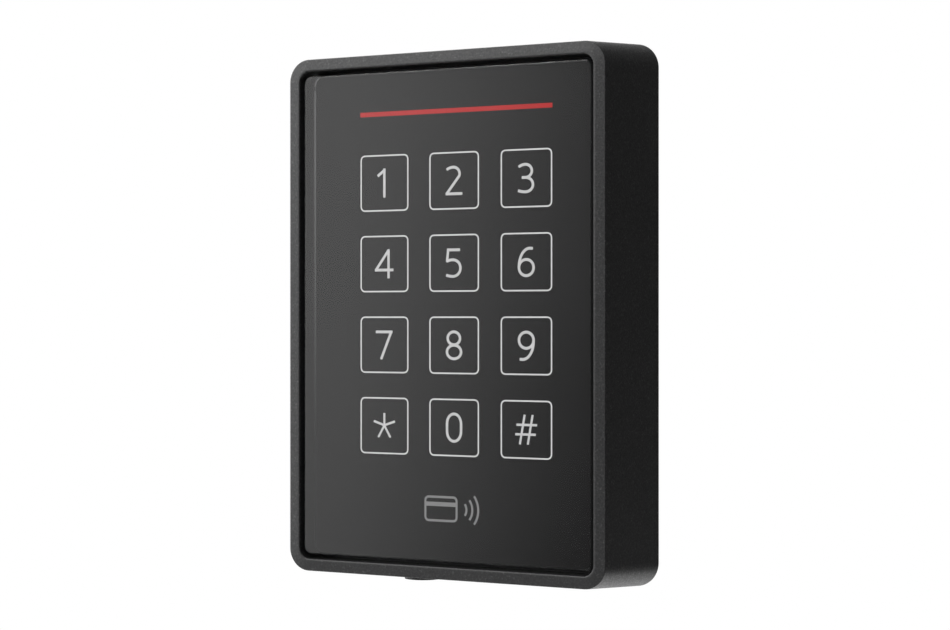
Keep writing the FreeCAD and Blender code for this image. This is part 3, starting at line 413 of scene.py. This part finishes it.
# Each slot's finish; a moulded one has a roughness range, then its grain's size and depth
MATERIALS = {
    "plate_plastic": lambda: moulded("plate_plastic", (0.03, 0.03, 0.032), (0.45, 0.6), 0.5, 0.02),
    "housing_plastic": housing_plastic,
    "smoked_window": smoked_window,
    "mask_film": printed_film,
    "legend_white": key_inlay,
    "status_red": lambda: glowing("status_red", (0.3, 0.004, 0.004), (1.0, 0.004, 0.004), STATUS_GLOW),
    "symbol_grey": lambda: glowing("symbol_grey", (0.3, 0.3, 0.3), (0.9, 0.9, 0.9), SYMBOL_GLOW),
    "adhesive_black": lambda: moulded("adhesive_black", BLACK, (0.6, 0.8), 0.6, 0.03),
    "light_guide_clear": clear_guide,
    "board_black": lambda: circuit_board("board_black", (0.01, 0.012, 0.011), (0.025, 0.03, 0.027)),
    "pad_copper": lambda: metal("pad_copper", (0.72, 0.40, 0.22), (0.2, 0.4), (3, 1, 3)),
    "led_white": lambda: moulded("led_white", (0.85, 0.8, 0.55), (0.15, 0.3), 0.3, 0.004),
    "led_red": lambda: moulded("led_red", (0.7, 0.12, 0.1), (0.15, 0.3), 0.3, 0.004),
    "ferrite_grey": lambda: moulded("ferrite_grey", (0.07, 0.07, 0.075), (0.5, 0.7), 0.25, 0.02),
    "fastener_steel": lambda: metal("fastener_steel", (0.62, 0.62, 0.64)),
    "board_green": lambda: circuit_board("board_green", (0.008, 0.055, 0.025), (0.015, 0.1, 0.045)),
    "connector_black": lambda: moulded("connector_black", BLACK, (0.35, 0.5), 0.4, 0.008),
    "chip_black": lambda: moulded("chip_black", (0.018, 0.018, 0.02), (0.5, 0.62), 0.15, 0.006),
    "can_metal": lambda: metal("can_metal", (0.74, 0.75, 0.76), (0.18, 0.35), (1, 1, 6)),
    "terminal_grey": lambda: moulded("terminal_grey", (0.16, 0.165, 0.17), (0.38, 0.5), 0.45, 0.01),
    "contact_tin": lambda: metal("contact_tin", (0.72, 0.71, 0.68), (0.25, 0.4), (6, 1, 1)),
    "cover_plastic": lambda: moulded("cover_plastic", (0.04, 0.04, 0.042), (0.4, 0.52), 0.6, 0.015),
    "gasket_rubber": lambda: moulded("gasket_rubber", (0.015, 0.015, 0.015), (0.65, 0.85), 0.3, 0.02),
    "vent_fabric": membrane,
    "security_steel": lambda: metal("security_steel", (0.30, 0.30, 0.31), (0.25, 0.42), (8, 8, 1)),
    "plunger_white": lambda: moulded("plunger_white", (0.7, 0.7, 0.67), (0.35, 0.5), 0.5, 0.008),
    "button_orange": lambda: moulded("button_orange", (0.72, 0.16, 0.02), (0.33, 0.45), 0.4, 0.008),
}


def dress_nodes():
    """Gives every CAD node the finish of its slot, and returns the finishes by slot."""
    finishes = {name: make() for name, make in MATERIALS.items()}
    for entry in frame["record"]["subparts"]:
        node = NODES[entry["node"]]
        node.data.materials.clear()
        node.data.materials.append(finishes[entry["material_slot"]])
    return finishes


# ---- Mesh pieces ---------------------------------------------------------------------------------

def finish_piece(name, mesh, body, finish):
    """An object for a bmesh, shaded smooth but for its true edges, riding on a body."""
    bmesh.ops.recalc_face_normals(mesh, faces=mesh.faces)
    data = bpy.data.meshes.new(name)
    mesh.to_mesh(data)
    mesh.free()
    data.materials.append(finish)
    data.shade_smooth()
    data.set_sharp_from_angle(angle=math.radians(SMOOTH_ANGLE))
    piece = bpy.data.objects.new(name, data)
    bpy.context.scene.collection.objects.link(piece)
    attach(piece, body)
    return piece


def lathe(mesh, rings, place, count):
    """Adds a turned solid with "count" points round it.

    Each ring is (radius, height), and a radius may be a function of the angle.
    place(x, y, height) puts a point of the solid into the model, in millimetres."""
    loops = []
    for radius, height in rings:
        loop = []
        for step in range(count):
            angle = 2 * math.pi * step / count
            reach = radius(angle) if callable(radius) else radius
            point = place(reach * math.cos(angle), reach * math.sin(angle), height)
            loop.append(mesh.verts.new(Vector(point) * MM))
        loops.append(loop)
    for lower, upper in zip(loops, loops[1:]):
        for step in range(count):
            after = (step + 1) % count
            mesh.faces.new((lower[step], lower[after], upper[after], upper[step]))
    mesh.faces.new(loops[0])
    mesh.faces.new(loops[-1])


def hexagon(across):
    """The radius of a hexagon "across" millimetres from flat to flat, as a function of the angle."""
    sixth = math.pi / 3
    return lambda angle: across / 2 / math.cos((angle % sixth) - sixth / 2)


def thread(radius, depth, pitch, height):
    """The radius of a screw thread at one height, as a function of the angle."""
    def reach(angle):
        turn = (height / pitch - angle / (2 * math.pi)) % 1
        return radius - depth * abs(2 * turn - 1)
    return reach


def screw_rings(head_radius, head_height, dome, socket, socket_depth, pin, shank_radius, length,
                pitch):
    """The rings of a screw, from the middle of its recess, round its head and along its thread.

    dome is the radius of the head's rounded rim, socket the recess from flat to flat, and pin the
    radius of the pin in it, or 0 for none."""
    dome_steps = 6
    thread_steps = 6  # rings for each turn of the thread
    neck = 0.3
    tip = 0.6  # the plain end of the shank, after the last ring of thread
    rings = []
    if pin:
        rings += [(pin * 0.7, 0.15), (pin, 0.3), (pin, socket_depth)]
    else:
        rings += [(socket / 4, socket_depth)]
    rings += [(hexagon(socket * 0.97), socket_depth), (hexagon(socket), 0.12)]
    rings += [(socket / 2 + 0.22, 0.0)]
    for step in range(dome_steps + 1):
        turn = math.radians(90 * step / dome_steps)
        rings.append((head_radius - dome + dome * math.sin(turn), dome - dome * math.cos(turn)))
    rings += [(head_radius, head_height - 0.08), (head_radius - 0.08, head_height)]
    rings += [(shank_radius, head_height), (shank_radius, head_height + neck)]
    for step in range(round((length - head_height - neck - tip) / pitch * thread_steps)):
        height = head_height + neck + pitch * step / thread_steps
        rings.append((thread(shank_radius, pitch * 0.45, pitch, height), height))
    rings += [(shank_radius * 0.8, length - 0.5), (shank_radius * 0.6, length)]
    return rings


def make_lock_screw(finishes):
    """The captive screw: a pinned hexagonal recess, a domed head and a fine thread up to the nut."""
    low, high = box_mm("lock_screw")
    x = (low[0] + high[0]) / 2
    y = (low[1] + high[1]) / 2
    rings = screw_rings(head_radius=(high[0] - low[0]) / 2, head_height=2.1, dome=0.5, socket=2.7,
                        socket_depth=1.3, pin=0.45, shank_radius=2.0, length=high[2] - low[2],
                        pitch=0.7)
    mesh = bmesh.new()
    lathe(mesh, rings, lambda across, deep, height: (x + across, y + deep, low[2] + height), 48)
    piece = finish_piece("security_screw", mesh, "lock_screw",
                         finishes["security_steel"])
    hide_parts("lock_screw")


def make_pan_screws(name, node, centres, head_radius, head_height, shank_radius, finishes):
    """Pan-head screws driven from the wall side, one at each centre."""
    low, high = box_mm(node)
    rings = screw_rings(head_radius, head_height, dome=0.6, socket=1.5, socket_depth=0.8, pin=0,
                        shank_radius=shank_radius, length=high[1] - low[1], pitch=0.8)
    mesh = bmesh.new()
    for x, z in centres:
        lathe(mesh, rings, lambda across, deep, height: (x + across, high[1] - height, z + deep), 32)
    piece = finish_piece(name, mesh, "reader", finishes["fastener_steel"])
    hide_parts(node)


def make_window_pane(finishes):
    """The window, its rear face bedded a hair into the film, so that no two faces share a plane."""
    mesh = bmesh.new()
    mesh.from_mesh(NODES["front_window"].data)
    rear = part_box("front_window")[1][1]
    for vertex in mesh.verts:
        if vertex.co.y > rear - FACE_TOLERANCE * MM:
            vertex.co.y += PANE_BEDDING * MM
    piece = finish_piece("window_pane", mesh, "reader", finishes["smoked_window"])
    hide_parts("front_window")


def make_edge_bead():
    """A fine pale frosted bead round the foot of the window, seen through it along the far side, where
    it and its glow make a painted highlight line.
    """
    low, high = box_mm("front_window")
    half_width = (high[0] - low[0]) / 2
    half_height = (high[2] - low[2]) / 2
    middle = (high[2] + low[2]) / 2
    back = high[1] + BEAD_BEHIND_WINDOW
    mesh = bmesh.new()
    loops = []
    for out, deep in BEAD_SECTION:
        loop = []
        radius = BEAD_CORNER + out
        for quarter in range(4):
            centre_x = (half_width - BEAD_CORNER) * (1 if quarter in (0, 3) else -1)
            centre_z = (half_height - BEAD_CORNER) * (1 if quarter in (0, 1) else -1)
            for step in range(BEAD_CORNER_STEPS + 1):
                turn = math.radians(90 * quarter + 90 * step / BEAD_CORNER_STEPS)
                point = (centre_x + radius * math.cos(turn), back + deep,
                         middle + centre_z + radius * math.sin(turn))
                loop.append(mesh.verts.new(Vector(point) * MM))
        loops.append(loop)
    count = len(loops[0])
    for first, second in zip(loops, loops[1:] + loops[:1]):
        for step in range(count):
            after = (step + 1) % count
            mesh.faces.new((first[step], first[after], second[after], second[step]))
    finish_piece("window_highlight_bead", mesh, "reader", frost_with_painted_highlight())


# ---- Studio --------------------------------------------------------------------------------------

def studio_brightness(tree):
    """How bright a direction is: more leftward, times its height's share of BRIGHTEST."""
    nodes, links = tree.nodes, tree.links
    direction = nodes.new("ShaderNodeTexCoord").outputs["Generated"]
    leftward = nodes.new("ShaderNodeVectorMath")
    leftward.operation = "DOT_PRODUCT"
    links.new(direction, leftward.inputs[0])
    leftward.inputs[1].default_value = (-1, 0, STUDIO_RISE)
    side = nodes.new("ShaderNodeMapRange")
    side.interpolation_type = "SMOOTHSTEP"
    for name, number in zip(("From Min", "From Max", "To Min", "To Max"), STUDIO_GRADIENT):
        side.inputs[name].default_value = number
    links.new(leftward.outputs["Value"], side.inputs["Value"])
    axes = nodes.new("ShaderNodeSeparateXYZ")
    links.new(direction, axes.inputs["Vector"])
    height = nodes.new("ShaderNodeMapRange")
    height.inputs["From Min"].default_value = -1
    links.new(axes.outputs["Z"], height.inputs["Value"])
    ramp = nodes.new("ShaderNodeValToRGB")
    elements = ramp.color_ramp.elements
    while len(elements) < len(STUDIO_HEIGHTS):
        elements.new(0.5)
    for element, (level, brightness) in zip(elements, STUDIO_HEIGHTS):
        element.position = (level + 1) / 2
        element.color = (*[brightness / BRIGHTEST] * 3, 1)
    links.new(height.outputs["Result"], ramp.inputs["Fac"])
    product = nodes.new("ShaderNodeMath")
    product.operation = "MULTIPLY"
    links.new(side.outputs["Result"], product.inputs[0])
    links.new(ramp.outputs["Color"], product.inputs[1])
    return product.outputs["Value"]


def make_world():
    """White to the camera; to everything else a soft studio, bright beyond the reader's left."""
    world = bpy.data.worlds.new("studio")
    bpy.context.scene.world = world
    world.use_nodes = True
    tree = world.node_tree
    nodes, links = tree.nodes, tree.links
    nodes.clear()
    studio = nodes.new("ShaderNodeBackground")
    studio.inputs["Color"].default_value = (BRIGHTEST, BRIGHTEST, BRIGHTEST, 1)
    links.new(studio_brightness(tree), studio.inputs["Strength"])
    white = nodes.new("ShaderNodeBackground")
    white.inputs["Color"].default_value = (1, 1, 1, 1)
    path = nodes.new("ShaderNodeLightPath")
    mix = nodes.new("ShaderNodeMixShader")
    links.new(path.outputs["Is Camera Ray"], mix.inputs["Fac"])
    links.new(studio.outputs["Background"], mix.inputs[1])
    links.new(white.outputs["Background"], mix.inputs[2])
    output = nodes.new("ShaderNodeOutputWorld")
    links.new(mix.outputs["Shader"], output.inputs["Surface"])


def make_floor():
    """A plain pale floor well below the reader, which hangs on a wall and never touches it."""
    bpy.ops.mesh.primitive_circle_add(vertices=96, radius=FLOOR_RADIUS, fill_type="NGON",
                                      location=FLOOR_PLACE)
    floor = bpy.context.object
    floor.name = "floor"
    shader = Shader("floor_pale")
    cloud = shader.noise(900.0, 2.0, 0.5)
    shader.link(shader.ramp(cloud, [(0.3, (0.86, 0.86, 0.86)), (0.7, (0.9, 0.9, 0.9))]), "Base Color")
    shader.set(Roughness=0.8, Emission_Color=(1, 1, 1, 1), Emission_Strength=FLOOR_GLOW)
    floor.data.materials.append(shader.material)


def make_light(name, place, aim, size, power):
    """A softbox at "place" that points at "aim"."""
    data = bpy.data.lights.new(name, "AREA")
    data.shape = "RECTANGLE"
    data.size, data.size_y = size
    data.energy = power
    light = bpy.data.objects.new(name, data)
    light.location = place
    direction = [a - b for a, b in zip(aim, place)]
    light.rotation_euler = Vector(direction).to_track_quat("-Z", "Y").to_euler()
    bpy.context.scene.collection.objects.link(light)


# ---- Scene ---------------------------------------------------------------------------------------

make_camera()
make_world()
make_floor()
for softbox in SOFTBOXES:
    make_light(*softbox)
finishes = dress_nodes()
make_lock_screw(finishes)
make_window_pane(finishes)
make_edge_bead()
make_pan_screws("cover_pan_screws", "rear_cover_screws", COVER_SCREWS, head_radius=2.4,
                head_height=1.6, shank_radius=1.1, finishes=finishes)
make_pan_screws("board_pan_screws", "board_screws", BOARD_SCREWS, head_radius=2.0,
                head_height=1.4, shank_radius=0.95, finishes=finishes)
bpy.context.scene.view_settings.view_transform = "Standard"
